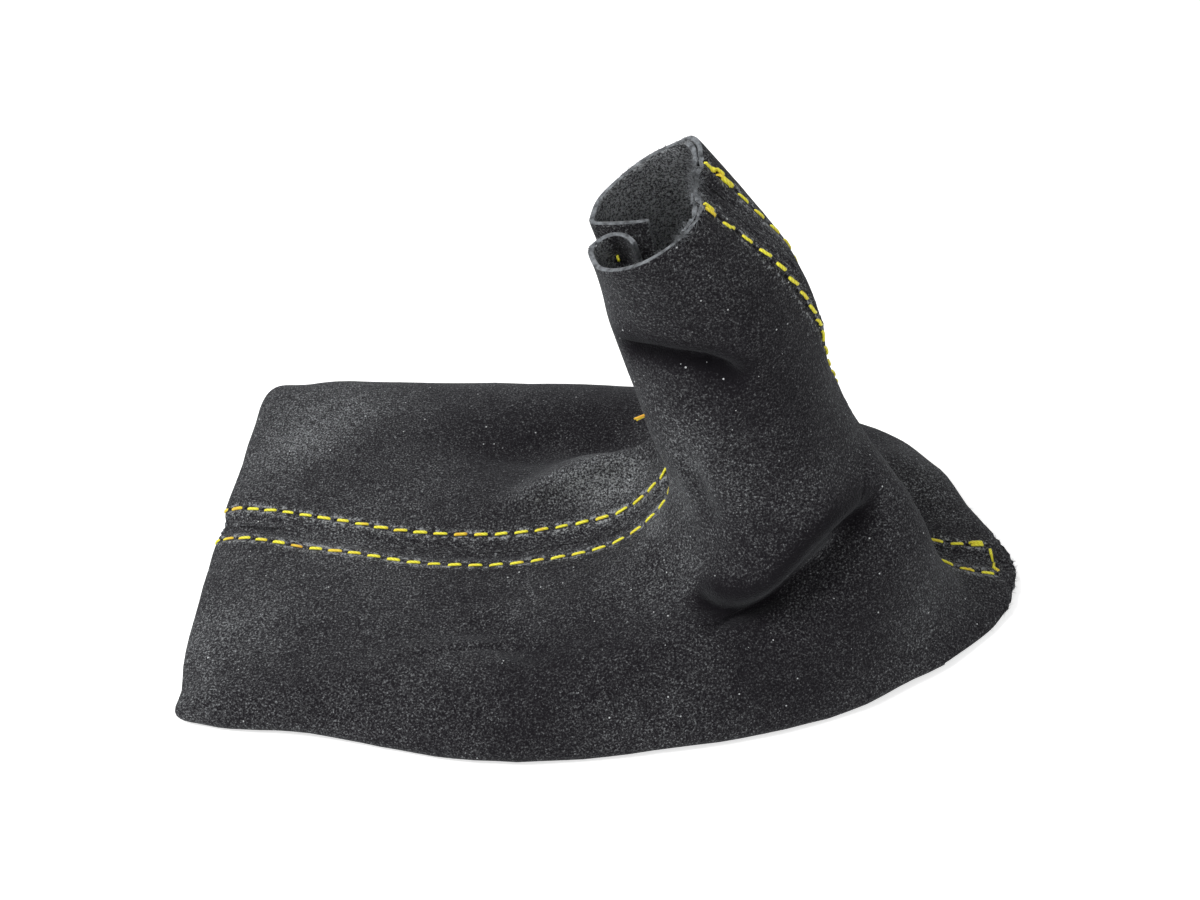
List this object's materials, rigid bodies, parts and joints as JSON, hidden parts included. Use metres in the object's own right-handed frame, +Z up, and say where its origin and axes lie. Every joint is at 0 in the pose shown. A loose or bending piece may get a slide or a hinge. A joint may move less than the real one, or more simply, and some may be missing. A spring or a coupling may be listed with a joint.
{
  "type": "gear lever gaiter",
  "caption": "Soft suede sleeve for the foot of a gear lever, with a wide hemmed base, a leaning neck with a slit and yellow topstitched seams.",
  "frame": {"origin": "on the floor, under the middle of the base", "axes": "+X from the straight front hem to the rear tip, +Y to the far side, +Z up"},
  "size_m": [0.1888, 0.1186, 0.112],
  "materials": {
    "suede": "charcoal suede with a short nap",
    "topstitch_thread": "yellow twisted polyester thread",
    "joining_thread": "dark twisted polyester thread"
  },
  "bodies": {
    "root": {"near_panel": "suede", "far_panel": "suede", "front_topstitch_near": "topstitch_thread", "front_topstitch_far": "topstitch_thread", "rear_topstitch": "topstitch_thread", "front_join_thread": "joining_thread", "rear_join_thread": "joining_thread"}
  },
  "joints": []
}
